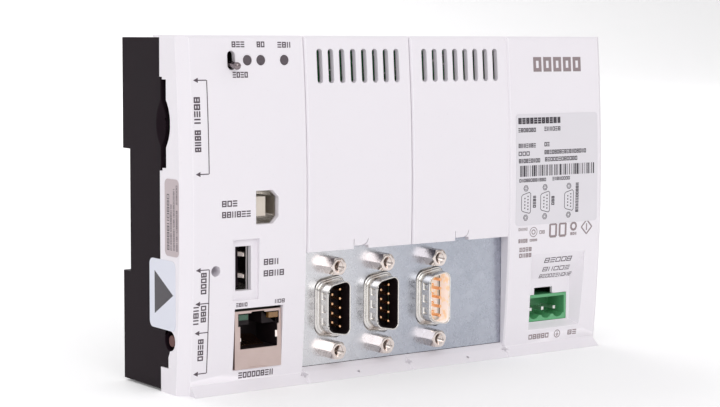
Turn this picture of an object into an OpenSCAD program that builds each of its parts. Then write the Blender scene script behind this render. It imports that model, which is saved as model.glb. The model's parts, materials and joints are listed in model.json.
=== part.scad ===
// Rail-mounted programmable controller in a two-part housing.
// X runs along the front face, -Y is the front, +Z is up, and the unit stands on its bottom edge.
// Places inside the modules are counted from the left edge of the face, from the foremost
// line of the face and from the underside; seat() then moves them to the middle of the unit.

/* [Housing] */
// Width of one of the four front bays
bay_w = 38.25; // [38.1:0.05:38.4]
// Height of the white front cover
cover_h = 101; // [100.5:0.1:101.5]
// Depth from the foremost line of the face to the back
body_d = 35.2; // [35:0.1:36]
// How far the side walls stand outside the face, each side
bevel_w = 3; // [2.8:0.1:3.2]
// How far the bevel beside the face falls back
bevel_d = 2.5; // [2.2:0.1:2.8]
// Radius of the shallow upright bow of the face
bow_r = 505; // [480:5:540]
// Height of the foremost line of the bow
bow_z = 51; // [50:0.5:52]
// Wall thickness of both shells
wall = 1.8; // [1.7:0.05:1.9]
// Depth of the white side walls
cover_side_d = 13.4; // [13.2:0.1:13.8]
// Depth of the white roof, which laps over the base
roof_d = 17.2; // [16.8:0.1:17.6]
// Height of the base's underside above the cover's underside
base_low = 0.65; // [0.5:0.05:0.8]
// Height of the base's top side
base_top = 100.3; // [100:0.1:100.4]

/* [Face details] */
// How far the skirt at the bottom of the face stands forward
skirt_out = 3.2; // [2.8:0.1:3.4]
// Height of the skirt
skirt_h = 2.9; // [2.7:0.1:3.1]
// Half width of the V grooves between the bays
groove = 0.55; // [0.4:0.05:0.7]
// Lower edge of the blank bay covers
blank_low = 38.3; // [38:0.1:38.6]
// Number of cooling slots in each blank cover
slot_count = 8; // [6:1:8]
// Distance between cooling slots
slot_pitch = 3.97; // [3.9:0.01:4]
// Width of one cooling slot
slot_w = 2; // [1.6:0.1:2.2]

/* [Connectors] */
// Front of the galvanised connector plate
plate_y = 4.2; // [4:0.1:4.4]
// Height of the middle of the serial ports
serial_z = 21.1; // [20.8:0.1:21.4]
// Distance between the two jack posts of a serial port
jack_gap = 25; // [24.9:0.01:25.1]
// Pitch of the pins in one row of a serial port
pin_pitch = 2.77; // [2.74:0.01:2.78]
// Distance between the two pin rows of a serial port
row_gap = 2.84; // [2.8:0.01:2.86]
// Pitch of the poles of the supply header
pole_pitch = 5.08; // [5:0.01:5.1]

/* [Rail] */
// Height of the recess for a 35 mm top-hat rail
rail_h = 35.6; // [35.4:0.1:35.8]
// Lower edge of that recess
rail_low = 32.6; // [32.4:0.1:32.8]
// Depth of that recess
rail_d = 4.2; // [4.1:0.1:4.4]
// Travel of a rail latch
latch_travel = 3; // [2.5:0.1:3]

/* [Hidden] */
face_w = 4 * bay_w;
full_w = face_w + 2 * bevel_w;
// Run switch: hinge line, resting lean below level (it turns up by twice this) and tip
lever_x = 13.45;
lever_y = 10.2;
lever_z = 93.95;
lever_lean = 7.5;
lever_reach = 11.55;
lever_tip_r = 1.1;
lever_proud = lever_reach * cos(lever_lean) + lever_tip_r - lever_y;   // in front of the face
seat_y = -(body_d + lever_proud) / 2 + lever_proud;
eps = 0.02;
far = 200;                          // longer than the unit
fine = 48;
bevel_a = atan(bevel_d / bevel_w);
groove_floor = 0.04;                // half width of the flat at the bottom of a bay groove
seam_clear = 0.07;                  // each part stays this far, or twice this, from a bay seam
ledge_end_y = 11.3;                 // the seam ledges end in front of the base's rim
roof_seam_y = 8;                    // the blank covers' roofs reach back to here

function bow(z) = pow(z - bow_z, 2) / (2 * bow_r);     // how far the face falls back at height z

// Main board and what stands on it
board_y = 15;
board_t = 1.6;
board_back = board_y + board_t;
power_board_y = 26;                 // front of the second board
board_x = [0.4, 152.6];
board_z = [3.2, 97.6];

// Housing screws: x, z
housing_screws = [[6, 93.5], [147, 93.5], [7.5, 6.6], [151.2, 5.4]];
screw_r = 1.25;
pilot_r = 1.3;
post_r = 2.6;
// Spacers between the two boards: x, z
spacers = [[97, 14], [139, 42], [84, 92], [132, 92]];
spacer_af = 4.5;

// Serial ports
serial_x = [48.7, 66.5, 86.3];
dsub_l = 16.9;                      // outer length of the shield
dsub_w = 8.36;                      // outer width of the shield
dsub_r = 2.6;
dsub_slope = 10;                    // angle of the two short sides
dsub_rim_y = -1.1;
dsub_floor_y = 4.9;
shield_t = 0.45;
jack_front_y = -1;
jack_af = 4.9;
jack_bore_r = 1.42;                 // clears a 4-40 screw thread
jack_bore_l = 4.6;

// Run switch: hinge pin, its bore and the slot in the face
lever_pin_r = 1.2;
lever_bore_r = 1.25;
lever_slot = [2.6, 5.4];

lights_x = [18.75, 23.25, 31.2];
light_z = 93.95;
light_r = 1.44;

// Network jack
jack_x = [14.3, 30.1];
jack_z = [6.0, 22.85];
jack_gap_z = 0.85;                    // open gap above the shield
jack_y = 1.6;
jack_mouth_x = [16.2, 28.7];
jack_mouth_z = [11.85, 18.5];
jack_lamp_z = [20.1, 21.7];
jack_lamp_x = [[15.8, 19], [25.95, 29.15]];
lamp_set_back = 0.4;

// USB host port
host_x = 17;
host_z = 35.1;
host_mouth = [5.12, 12.5];
host_recess_y = 1.4;
host_y = 3.3;
host_shift = -0.5;                    // the shell sits left of the middle of its cutout

// USB device port
device_x = [20.5, 28.1];
device_z = [47.5, 57.1];
device_y = 2.1;
device_cut = 2;

// Supply pocket and header
pocket_x = [124.6, 147.2];
pocket_z = [7.3, 32];
pocket_floor_x = [125.4, 144.7];
pocket_floor_z = [8.9, 22.9];
pocket_y = 5;
header_x = 135.05;
header_z = 13.55;
header_w = 17.2;
header_h = 8.65;
header_pin_z = 12.95;

// Card slot, update switch and control button on the left side
card_z = [64, 88.4];
card_y = [10.1, 12.9];
button_y = 8.2;
button_z = 15.1;
button_r = 1.65;
update_y = 9.4;
update_z = 22;

// Rail latches: middle of each
latch_x = [27, face_w - 27];
latch_w = 12;
latch_flange_w = 16;
latch_gap = 0.3;
latch_y = 32.6;
latch_back_y = body_d - 0.3;
latch_foot_z = base_low + latch_travel + 0.3;
latch_nose_z = rail_low + 1.6;
latch_flange_z = [6, 26];
latch_tab_z = [20.4, 22.4];
spring_y = 31.15;
spring_r = 0.8;
spring_wire_r = 0.18;
spring_turns = 9;
spring_z = [8.4, latch_tab_z[0]];
spring_pocket_r = 1.15;

// ---- shared shapes ----

module seat() translate([-face_w / 2, seat_y, 0]) children();

// A box from its lowest to its highest corner
module span(x, y, z) translate([x[0], y[0], z[0]]) cube([x[1] - x[0], y[1] - y[0], z[1] - z[0]]);

// A cylinder along Y, from y[0] to y[1]
module rod_y(x, z, y, r) translate([x, y[1], z]) rotate([90, 0, 0]) cylinder(r = r, h = y[1] - y[0], $fn = fine);

// A cylinder along X, from x[0] to x[1]
module rod_x(x, y, z, r) translate([x[0], y, z]) rotate([0, 90, 0]) cylinder(r = r, h = x[1] - x[0], $fn = fine);

// An outline drawn in X and Z, given its depth in Y
module depth_y(y) translate([0, y[1], 0]) rotate([90, 0, 0]) linear_extrude(y[1] - y[0]) children();

// An outline drawn in Y and Z, given its length in X
module length_x(x) translate([x[0], 0, 0]) rotate([90, 0, 90]) linear_extrude(x[1] - x[0]) children();

// Points of a corner round of radius r about c, over the quarter that starts at angle a
function quarter(c, r, a) = [for (i = [0 : 6]) c + r * [cos(a + 15 * i), sin(a + 15 * i)]];

// A rectangle with round corners, from its lowest to its highest corner
module round_rect(x, z, r) polygon(concat(
    quarter([x[1] - r, z[1] - r], r, 0), quarter([x[0] + r, z[1] - r], r, 90),
    quarter([x[0] + r, z[0] + r], r, 180), quarter([x[1] - r, z[0] + r], r, 270)));

// An upright slot with round ends, cut along Y
module slot_y(x, z, w, h, y) {
    span([x - w / 2, x + w / 2], y, [z - h / 2 + w / 2, z + h / 2 - w / 2]);
    for (s = [-1, 1]) rod_y(x, z + s * (h - w) / 2, y, w / 2);
}

// Everything behind the bowed face and its two side bevels, moved inwards by inset
module behind_face(inset) intersection() {
    span([-bevel_w + inset, face_w + bevel_w - inset], [-2, 60], [inset, cover_h - inset]);
    translate([-far / 4, bow_r, bow_z]) rotate([0, 90, 0]) cylinder(r = bow_r - inset, h = face_w + far / 2, $fn = 720);
    behind_bevel(inset);
    translate([face_w, 0, 0]) mirror([1, 0, 0]) behind_bevel(inset);
}

module behind_bevel(inset) translate([0, 0, bow_z]) rotate([0, 0, -bevel_a])
    translate([-far, bow_r / cos(bevel_a), 0]) rotate([0, 90, 0])
        cylinder(r = bow_r / cos(bevel_a) - inset, h = 2 * far, $fn = 720);

// The bay grooves: a ring that follows the bow, and straight cuts over the roof and the skirt
module groove_at(x) {
    translate([x, bow_r, bow_z]) rotate([0, 90, 0]) rotate_extrude($fn = 720)
        polygon([[bow_r - groove, -groove_floor], [bow_r - groove, groove_floor], [bow_r + 1, groove + 1],
            [bow_r + 1, -groove - 1]]);
    translate([x, -2, cover_h]) rotate([0, 45, 0]) translate([-groove / sqrt(2), 0, -groove / sqrt(2)])
        cube([groove * sqrt(2), roof_d + 3, groove * sqrt(2)]);
    translate([x, bow(skirt_h) - skirt_out, 0]) rotate([-atan(skirt_out / skirt_h), 0, 0])
        rotate([0, 0, 45]) translate([-groove / sqrt(2), -groove / sqrt(2), -1])
            cube([groove * sqrt(2), groove * sqrt(2), 6]);
}

// Rounds the long edge between face and roof
module roof_edge_cut() difference() {
    span([-far / 4, face_w + far / 4], [-3, bow(cover_h) + 1.5], [cover_h - 1.5, cover_h + 1]);
    rod_x([-far / 4 - 1, face_w + far / 4 + 1], bow(cover_h - 1.5) + 1.5, cover_h - 1.5, 1.5);
}

// ---- housing ----

module white_shell() difference() {
    union() {
        intersection() {
            behind_face(0);
            union() {
                span([-far, far + face_w], [-3, cover_side_d], [0, cover_h]);
                span([-far, far + face_w], [-3, roof_d], [base_top + 0.1, cover_h]);
            }
        }
        length_x([0, face_w]) polygon([
            [bow(skirt_h), skirt_h], [bow(skirt_h) - skirt_out, 0], [6, 0], [6, skirt_h]]);
    }
    difference() {
        behind_face(wall);
        span([-bevel_w, 0.6], [-3, 4.2], [0, cover_h]);      // solid corner behind each bevel
        span([face_w - 0.6, face_w + bevel_w], [-3, 4.2], [0, cover_h]);
    }
    roof_edge_cut();
}

// The blank covers are cut out of the same shell: the zone that holds one of them
module blank_zone(x, gap) difference() {
    span([x[0] + gap, x[1] - gap], [-3, roof_seam_y - gap], [blank_low, cover_h + 1]);
    span([x[0], x[1]], [wall + 3.6, roof_seam_y + 1], [blank_low - 1, cover_h - wall]);
}

// Strips of the cover that back the seams of the blank covers
module seam_ledges() intersection() {
    difference() {
        behind_face(wall + 0.05);
        behind_face(wall + 1.25);
    }
    union() {
        span([bay_w - 1.6, bay_w + 1.8], [0, ledge_end_y], [blank_low - 1, 98.6]);
        span([2 * bay_w - 1.8, 2 * bay_w + 1.8], [0, ledge_end_y], [blank_low + 1.4, 98.6]);
        span([3 * bay_w - 1.8, 3 * bay_w + 1.6], [0, ledge_end_y], [blank_low - 1, 98.6]);
        span([bay_w - 1.6, 3 * bay_w + 1.6], [0, ledge_end_y], [blank_low + 1.4, blank_low + 4]);
        span([bay_w - 1.6, 3 * bay_w + 1.6], [0, ledge_end_y], [97.6, 98.6]);
    }
}

module supply_pocket_cut() intersection() {
    length_x([pocket_x[0] - 5, pocket_x[1] + 5]) polygon([
        [pocket_y, pocket_floor_z[0]], [pocket_y, pocket_floor_z[1]],
        [0.3, pocket_z[1]], [-3, pocket_z[1]], [-3, pocket_z[0]], [1.9, pocket_z[0]]]);
    translate([0, 0, pocket_z[0] - 2]) linear_extrude(pocket_z[1] - pocket_z[0] + 4) polygon([
        [pocket_x[0], -3], [pocket_x[1], -3], [pocket_x[1], 0.9],
        [pocket_floor_x[1], pocket_y], [pocket_floor_x[0], pocket_y], [pocket_x[0], 0.9]]);
}

// Opening of the white side wall beside the card slot
module card_cutout() length_x([-bevel_w - 1, 0.5]) union() {
    polygon([[14, 63], [11.9, 63], [11.9, 63.8], [9.8, 63.8], [9.8, 88.6], [12, 88.6], [12, 89.3], [14, 89.3]]);
    translate([18.1, 76.3]) circle(r = 10.6, $fn = 96);
}

// Opening of the white side wall beside the control button and under the service label
module control_cutout() length_x([-bevel_w - 1, 0.5]) union() {
    polygon([[14, 7.2], [9.1, 7.2], [9.1, 10.4], [7.9, 12.8], [7.9, 35], [14, 35]]);
    translate([button_y, button_z + 0.1]) circle(r = 2.9, $fn = fine);
}

// Block that reaches from inside the face's wall back to back_y
module face_block(xs, back_y, zs) length_x(xs) polygon(concat(
    [for (i = [0 : 6]) let (z = zs[0] + (zs[1] - zs[0]) * i / 6) [bow(z) + 0.6, z]],
    [[back_y, zs[1]], [back_y, zs[0]]]));

module front_cover() seat() color("whitesmoke") difference() {
    union() {
        difference() {
            white_shell();
            blank_zone([bay_w, 3 * bay_w], seam_clear);
        }
        seam_ledges();
        // frame of the connector opening and its sloping sill
        face_block([bay_w - 1.8, bay_w - 0.4], plate_y - 0.1, [wall, blank_low + 1]);
        face_block([3 * bay_w + 0.1, 3 * bay_w + 1.6], plate_y - 0.1, [wall, blank_low + 1]);
        length_x([bay_w - 1.8, 3 * bay_w + 1.6]) polygon([
            [bow(skirt_h), skirt_h], [4, 4.1], [4, wall - eps], [bow(skirt_h), wall - eps]]);
        // walls of the supply pocket
        face_block([pocket_x[0] - 1.6, pocket_x[1] + 1.4], pocket_y + 1.2, [pocket_z[0] - 1.6, pocket_z[1] + 1.2]);
        // floor of the host port recess
        face_block([11.6, 22.9], host_y - 0.1, [24.9, 44.8]);
        // posts for the housing screws
        for (p = housing_screws) rod_y(p[0], p[1], [wall / 2 + bow(p[1]), board_y - 0.05], post_r);
        // boss behind the small round hole
        rod_y(7.3, 35.05, [1, 6.2], 2.4);
    }
    // connector opening
    length_x([bay_w - 0.4, 3 * bay_w + 0.1]) polygon([
        [-4, skirt_h], [bow(skirt_h), skirt_h], [4, 4.1], [6, 4.1], [6, blank_low - 1], [6, blank_low], [-4, blank_low]]);
    for (i = [1 : 3]) groove_at(i * bay_w);
    supply_pocket_cut();
    span([header_x - header_w / 2 - 0.1, header_x + header_w / 2 + 0.1], [3, 9],
        [header_z - header_h / 2 - 0.1, header_z + header_h / 2 + 0.1]);
    span([129.8, 137.6], [3, 9], [17, 20.2]);
    // host port: recess and mouth
    span([12.95, 21.7], [-2, host_recess_y], [26.1, 43.5]);
    span([host_x - host_mouth[0] / 2 - 0.1, host_x + host_mouth[0] / 2 + 0.1], [0, 5],
        [host_z - host_mouth[1] / 2 - 0.1, host_z + host_mouth[1] / 2 + 0.1]);
    // device port
    depth_y([-2, 6]) device_outline(0);
    // network jack
    span([jack_x[0] - 0.5, jack_x[1] + 0.1], [-2, 6], [jack_z[0] - 0.05, jack_z[1] + jack_gap_z]);
    // run switch slot and status lights
    slot_y(lever_x, lever_z, lever_slot[0], lever_slot[1], [-2, 8]);
    for (x = lights_x) rod_y(x, light_z, [-2, 8], light_r + 0.05);
    // small round hole
    rod_y(7.3, 35.05, [-2, 5.2], 1.5);
    // pin holes in the skirt
    for (x = [57.1, 98.9]) translate([x, bow(skirt_h) - skirt_out / 2, skirt_h / 2])
        rotate([45, 0, 0]) translate([0, 0, -1.1]) cylinder(r = 0.5, h = 2.2, $fn = 24);
    card_cutout();
    control_cutout();
    for (p = housing_screws) rod_y(p[0], p[1], [6.5, board_y + 1], pilot_r);
}

module device_outline(inset) polygon([
    [device_x[0] + inset, device_z[0] + inset], [device_x[1] - device_cut, device_z[0] + inset],
    [device_x[1] - inset, device_z[0] + device_cut], [device_x[1] - inset, device_z[1] - device_cut],
    [device_x[1] - device_cut, device_z[1] - inset], [device_x[0] + inset, device_z[1] - inset]]);

// A blank bay cover; bay 1 or 2, first is the middle of its first cooling slot
module blank_cover(bay, first, tab) seat() color("whitesmoke") difference() {
    intersection() {
        white_shell();
        blank_zone([bay * bay_w, (bay + 1) * bay_w], 2 * seam_clear);
    }
    for (i = [0 : slot_count - 1]) slot_y(first + i * slot_pitch, 92.15, slot_w, 10, [-1, 9]);
    for (i = [bay, bay + 1]) groove_at(i * bay_w);
    // snap tab: a raised stretch of the lower edge between two fine slits
    span([tab, tab + 5.4], [-1, 4], [blank_low - 1, blank_low + 0.95]);
    span([tab, tab + 0.25], [-1, 4], [blank_low, blank_low + 3]);
    depth_y([-1, 4]) intersection() {
        difference() {
            translate([tab + 3.2, blank_low + 3]) circle(r = 2.2, $fn = fine);
            translate([tab + 3.2, blank_low + 3]) circle(r = 1.95, $fn = fine);
        }
        translate([tab + 3.2, blank_low]) square([3, 3]);
    }
}

module connector_plate() seat() color("silver") difference() {
    union() {
        span([bay_w - 1.4, 3 * bay_w + 1.4], [plate_y, plate_y + 1], [4.2, 41]);
        // flanges folded back towards the board
        span([bay_w - 1.4, bay_w - 0.4], [plate_y, board_y], [8, 34]);
        span([3 * bay_w + 0.4, 3 * bay_w + 1.4], [plate_y, board_y], [8, 34]);
    }
    for (x = serial_x) {
        depth_y([plate_y - 1, plate_y + 2]) translate([x, serial_z]) d_outline(10.6, 20.3, 3.4);
        for (s = [-1, 1]) rod_y(x, serial_z + s * jack_gap / 2, [plate_y - 1, plate_y + 2], 1.6);
    }
}

module base_outer() union() {
    span([-bevel_w, face_w + bevel_w], [cover_side_d, body_d], [base_low, base_top]);
    // side stretches that reach forward into the openings of the white side wall
    span([-bevel_w, -bevel_w + wall], [12.75, 14], [63.1, 89.2]);
    length_x([-bevel_w, -bevel_w + wall]) polygon([
        [14, 7.3], [9.2, 7.3], [9.2, 10.4], [8, 12.9], [8, 34.9], [14, 34.9]]);
    // standing ribs under the rear edge
    for (x = [46, face_w - 60]) span([x, x + 14], [27, 34], [0, base_low + 1]);
}

module base_hollow() difference() {
    span([-bevel_w + wall, face_w + bevel_w - wall], [4, body_d - wall], [base_low + wall, base_top - wall]);
    span([-far, far + face_w], [body_d - rail_d - wall, body_d], [rail_low - wall, rail_low + rail_h + wall]);
    // blocks that hold the rail latches and the screw posts
    for (x = latch_x) span([x - 10, x + 10], [28.4, body_d], [0, rail_low]);
    for (p = housing_screws) rod_y(p[0], p[1], [board_back + 0.05, body_d], 3.4);
}

// Rim that slips inside the white cover
module base_rim() difference() {
    span([-bevel_w + wall + 0.1, face_w + bevel_w - wall - 0.1], [11.6, 16], [base_low + 1.3, base_top - 1.3]);
    span([-bevel_w + wall + 1, face_w + bevel_w - wall - 1], [10, 17], [base_low + 2.2, base_top - 2.2]);
    span([-far / 4, 1], [10, 12.9], [card_z[0] - 1.2, card_z[1] + 1.2]);
    span([-far / 4, 1], [10, 14.6], [6, 36]);
    for (p = housing_screws) rod_y(p[0], p[1], [10, 17], post_r + 0.4);
}

module latch_channel(x) {
    // narrow part, open to the back, and wide part that keeps the latch in
    span([x - latch_w / 2 - latch_gap, x + latch_w / 2 + latch_gap],
        [latch_y - latch_gap, body_d + 1], [base_low - 1, rail_low + 1]);
    span([x - latch_flange_w / 2 - latch_gap, x + latch_flange_w / 2 + latch_gap],
        [latch_y - latch_gap, 33.9], [latch_flange_z[0] - latch_travel - latch_gap, latch_flange_z[1] + latch_gap]);
    // pocket for the spring and for the tab that presses on it
    span([x - spring_pocket_r, x + spring_pocket_r], [spring_y - spring_pocket_r, latch_y],
        [spring_z[0], latch_tab_z[1] + latch_gap]);
}

module rear_base() seat() color([0.16, 0.13, 0.15]) difference() {
    union() {
        difference() {
            base_outer();
            base_hollow();
        }
        base_rim();
        // fixed hooks at the top of the rail recess
        for (x = latch_x) span([x - 7, x + 7], [body_d - rail_d + 1.4, body_d - 0.3], [66.6, 69]);
    }
    difference() {
        span([-far / 4, far + face_w], [body_d - rail_d, body_d + 1], [rail_low, rail_low + rail_h]);
        for (x = latch_x) span([x - 7, x + 7], [body_d - rail_d + 1.4, body_d - 0.3], [66.6, 69]);
    }
    for (x = latch_x) {
        latch_channel(x);
        // mould windows in front of the fixed hook and of the latch's nose
        span([x - 7.3, x + 7.3], [body_d - rail_d - wall - 1, body_d - rail_d + 1.4], [66.2, rail_low + rail_h]);
        span([x - 6.3, x + 6.3], [body_d - rail_d - wall - 1, latch_y], [rail_low, latch_nose_z + 0.5]);
    }
    for (p = housing_screws) {
        rod_y(p[0], p[1], [10, body_d + 1], 1.5);
        rod_y(p[0], p[1], [30.2, body_d + 1], 2.7);
    }
    // finger scoop beside the card slot, and the well round the control button
    translate([-13.5, 5.92, 76.3]) sphere(r = 14.07, $fn = 96);
    rod_x([-bevel_w - 1, 0.5], button_y, button_z + 0.1, 2.8);
    // windows for the diagnostic socket and the update switch under the service label
    span([-bevel_w - 1, 0], [8.6, 12.4], [27, 33.4]);
    span([-bevel_w - 1, 0], [update_y - 1.1, update_y + 1.1], [update_z - 3, update_z + 3]);
    // cooling slots in the top and in the underside
    for (bay = [1, 2], i = [0 : slot_count - 1], z = [base_low - 1, base_top - wall - 1])
        span([bay * bay_w + 5.2 + i * slot_pitch, bay * bay_w + 5.2 + i * slot_pitch + slot_w],
            [19.5, 26.5], [z, z + wall + 2]);
}

module housing_screws() seat() color("gainsboro") for (p = housing_screws) difference() {
    union() {
        rod_y(p[0], p[1], [7.5, 30.4], screw_r);
        rod_y(p[0], p[1], [30.2, 32], 2.4);
    }
    for (a = [0, 90]) translate([p[0], 32, p[1]]) rotate([0, a, 0]) cube([0.6, 1.6, 2.8], center = true);
}

// ---- labels ----

module rating_label() seat() color("lightgray") intersection() {
    difference() {
        behind_face(-0.12);
        behind_face(0);
    }
    depth_y([-2, 6]) round_rect([117.3, 152], [41.4, 76.7], 1.2);
}

module side_label(y, z, r, t) seat() length_x([-bevel_w - t, -bevel_w]) round_rect(y, z, r);

module licence_label() color("rosybrown") side_label([2.9, 10.6], [39.3, 61], 1.6, 0.12);
module service_label() color("lavender") side_label([5, 19.5], [18.1, 37.9], 1.8, 0.12);

// ---- rail latches ----

module rail_latch(x) seat() color([0.2, 0.17, 0.19]) difference() {
    union() {
        span([x - latch_w / 2, x + latch_w / 2], [latch_y, latch_back_y], [latch_foot_z, latch_nose_z]);
        span([x - latch_flange_w / 2, x + latch_flange_w / 2], [latch_y, latch_y + 1], latch_flange_z);
        span([x - 0.85, x + 0.85], [spring_y - 0.8, latch_y + 0.1], latch_tab_z);
    }
    // slanted nose that rides over the rail, grip ribs and slot for a screwdriver
    length_x([x - latch_w, x + latch_w]) polygon([
        [latch_y + 1, latch_nose_z + 0.1], [latch_back_y + 0.1, latch_nose_z + 0.1], [latch_back_y + 0.1, latch_nose_z - 1.6]]);
    for (i = [0 : 4]) span([x - 4, x + 4], [latch_back_y - 0.4, latch_back_y + 1], [15 + 2.4 * i, 16.2 + 2.4 * i]);
    span([x - 2.6, x + 2.6], [latch_y - 1, latch_back_y + 1], [latch_foot_z + 2.2, latch_foot_z + 3.8]);
}

function coil(t) = [spring_r * cos(360 * spring_turns * t), spring_r * sin(360 * spring_turns * t),
    spring_z[0] + spring_wire_r + t * (spring_z[1] - spring_z[0] - 2 * spring_wire_r)];

// A wire spring: rings of a six-sided wire along a helix
module latch_spring(x) seat() color("silver") translate([x, spring_y, 0]) {
    steps = spring_turns * 12;
    sides = 6;
    points = [for (i = [0 : steps], k = [0 : sides - 1]) let (c = coil(i / steps),
        a = 360 * spring_turns * i / steps, w = 360 * k / sides)
        [c[0] + spring_wire_r * cos(w) * cos(a), c[1] + spring_wire_r * cos(w) * sin(a), c[2] + spring_wire_r * sin(w)]];
    skins = [for (i = [0 : steps - 1], k = [0 : sides - 1]) let (n = (k + 1) % sides)
        [i * sides + k, (i + 1) * sides + k, (i + 1) * sides + n, i * sides + n]];
    polyhedron(points, concat(skins, [[for (k = [0 : sides - 1]) k],
        [for (k = [0 : sides - 1]) steps * sides + sides - 1 - k]]), convexity = 10);
}

// ---- boards ----

module main_board() seat() color("darkgreen") difference() {
    span(board_x, [board_y, board_back], board_z);
    for (p = housing_screws) rod_y(p[0], p[1], [board_y - 1, board_back + 1], 1.5);
    for (p = spacers) rod_y(p[0], p[1], [board_y - 1, board_back + 1], 1.1);
}

module power_board() seat() color("darkgreen") difference() {
    span([78, 143.5], [power_board_y, power_board_y + board_t], [9, 97]);
    for (p = spacers) rod_y(p[0], p[1], [power_board_y - 1, power_board_y + board_t + 1], 1.1);
}

module board_spacers() seat() color("goldenrod") for (p = spacers) difference() {
    translate([p[0], power_board_y, p[1]]) rotate([90, 0, 0])
        cylinder(d = spacer_af / cos(30), h = power_board_y - board_back, $fn = 6);
    rod_y(p[0], p[1], [board_back - 1, power_board_y + 1], 1.05);
}

module board_screws() seat() color("gainsboro") for (p = spacers) {
    rod_y(p[0], p[1], [power_board_y + board_t, power_board_y + board_t + 1.2], 2);
    rod_y(p[0], p[1], [power_board_y - 4, power_board_y + board_t + 0.2], 1);
    rod_y(p[0], p[1], [board_y - 1.2, board_y], 2);
    rod_y(p[0], p[1], [board_y - 0.2, board_back + 4], 1);
}

module stack_connector() seat() color("dimgray")
    span([92, 124], [board_back, power_board_y], [84, 89]);

module processor() seat() color("black") span([50, 67], [board_back, board_back + 1.8], [58, 75]);

module heat_sink() seat() color("dimgray") difference() {
    span([48.5, 68.5], [board_back + 1.8, board_back + 9.8], [56.5, 76.5]);
    for (i = [0 : 5]) span([50.3 + 3.06 * i, 51.9 + 3.06 * i], [board_back + 3.3, board_back + 11], [56, 77]);
}

module memory_chips() seat() color("black")
    for (p = [[46, 82], [62, 82], [30, 62], [30, 80]]) span([p[0], p[0] + 11], [board_back, board_back + 1.2], [p[1], p[1] + 8]);

module clock_crystal() seat() color("silver") slot_y(40, 54, 4.6, 11, [board_back, board_back + 3.4]);

module coin_cell() seat() color("silver") rod_y(26, 36, [board_back + 1.2, board_back + 4.4], 10);

module coin_cell_holder() seat() color("ivory") difference() {
    rod_y(26, 36, [board_back, board_back + 4], 11.6);
    rod_y(26, 36, [board_back + 1.15, board_back + 5], 10.05);
    span([10, 42], [board_back + 1.15, board_back + 5], [33, 39]);
}

module capacitors() seat() color("slategray") for (p = [[92, 22], [103, 22], [92, 36]])
    rod_y(p[0], p[1], [power_board_y - 8, power_board_y], 4);

module power_inductor() seat() color("dimgray")
    depth_y([power_board_y - 6, power_board_y]) round_rect([112, 124], [24, 36], 2);

module supply_fuse() seat() color("tan") span([128, 134], [power_board_y - 2.6, power_board_y], [24, 27]);

// ---- serial ports ----

// D outline with its long side at +X, w wide, l long, corners of radius r
module d_outline(w, l, r) {
    k = tan(dsub_slope);
    // centres of the four corner rounds
    hx = w / 2 - r;
    wide = l / 2 - r / cos(dsub_slope) - r * k;
    narrow = wide - 2 * hx * k;
    polygon(concat(
        [for (i = [0 : 8]) [hx, -wide] + r * [cos(-90 + dsub_slope + i * (90 - dsub_slope) / 8), sin(-90 + dsub_slope + i * (90 - dsub_slope) / 8)]],
        [for (i = [0 : 8]) [hx, wide] + r * [cos(i * (90 + dsub_slope) / 8), sin(i * (90 + dsub_slope) / 8)]],
        [for (i = [0 : 8]) [-hx, narrow] + r * [cos(90 + dsub_slope + i * (90 - dsub_slope) / 8), sin(90 + dsub_slope + i * (90 - dsub_slope) / 8)]],
        [for (i = [0 : 8]) [-hx, -narrow] + r * [cos(180 + i * (90 - dsub_slope) / 8), sin(180 + i * (90 - dsub_slope) / 8)]]));
}

module at_serial(n) translate([serial_x[n - 1], serial_z]) children();

module serial_shield(n) seat() color("gainsboro") difference() {
    union() {
        depth_y([dsub_rim_y, plate_y + 1.2]) at_serial(n) d_outline(dsub_w, dsub_l, dsub_r);
        depth_y([plate_y + 1.05, plate_y + 2]) at_serial(n) round_rect([-6.2, 6.2], [-15.4, 15.4], 1);
    }
    depth_y([dsub_rim_y - 1, plate_y + 3]) at_serial(n)
        d_outline(dsub_w - 2 * shield_t, dsub_l - 2 * shield_t, dsub_r - shield_t);
    for (s = [-1, 1]) rod_y(serial_x[n - 1], serial_z + s * jack_gap / 2, [plate_y, plate_y + 3], 1.6);
}

// Pin places of a nine-pole port: five on the right, four on the left
function pin_places() = concat(
    [for (i = [-2 : 2]) [row_gap / 2, i * pin_pitch]],
    [for (i = [-1.5 : 1.5]) [-row_gap / 2, i * pin_pitch]]);

module serial_insert(n, tint) seat() color(tint) difference() {
    union() {
        depth_y([dsub_floor_y, plate_y + 2.2]) at_serial(n)
            d_outline(dsub_w - 2 * shield_t - 0.04, dsub_l - 2 * shield_t - 0.04, dsub_r - shield_t);
        depth_y([plate_y + 2, board_y]) at_serial(n) round_rect([-5.4, 5.4], [-9.4, 9.4], 1);
    }
    for (p = pin_places()) rod_y(serial_x[n - 1] + p[0], serial_z + p[1], [0, board_y + 1], 0.52);
}

module serial_pins(n) seat() color("gold") for (p = pin_places()) {
    rod_y(serial_x[n - 1] + p[0], serial_z + p[1], [0.8, board_y], 0.5);
    translate([serial_x[n - 1] + p[0], 0.8, serial_z + p[1]]) sphere(r = 0.5, $fn = 24);
}

module jack_posts() seat() color("gainsboro") for (x = serial_x, s = [-1, 1]) {
    z = serial_z + s * jack_gap / 2;
    difference() {
        union() {
            translate([x, plate_y, z]) rotate([90, 0, 0]) rotate([0, 0, 0])
                cylinder(d = jack_af / cos(30), h = plate_y - jack_front_y, $fn = 6);
            rod_y(x, z, [plate_y - 0.5, board_y - 5], 1.45);
        }
        rod_y(x, z, [jack_front_y - 1, jack_front_y + jack_bore_l], jack_bore_r);
    }
}

// ---- network jack ----

module jack_mouth() union() {
    span(jack_mouth_x, [-1, 13], jack_mouth_z);
    span([15.5, 29.3], [-1, jack_y + 1.6], [18.4, 22]);
    span([20, 24.3], [-1, 10], [18.4, 22.4]);
}

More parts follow.
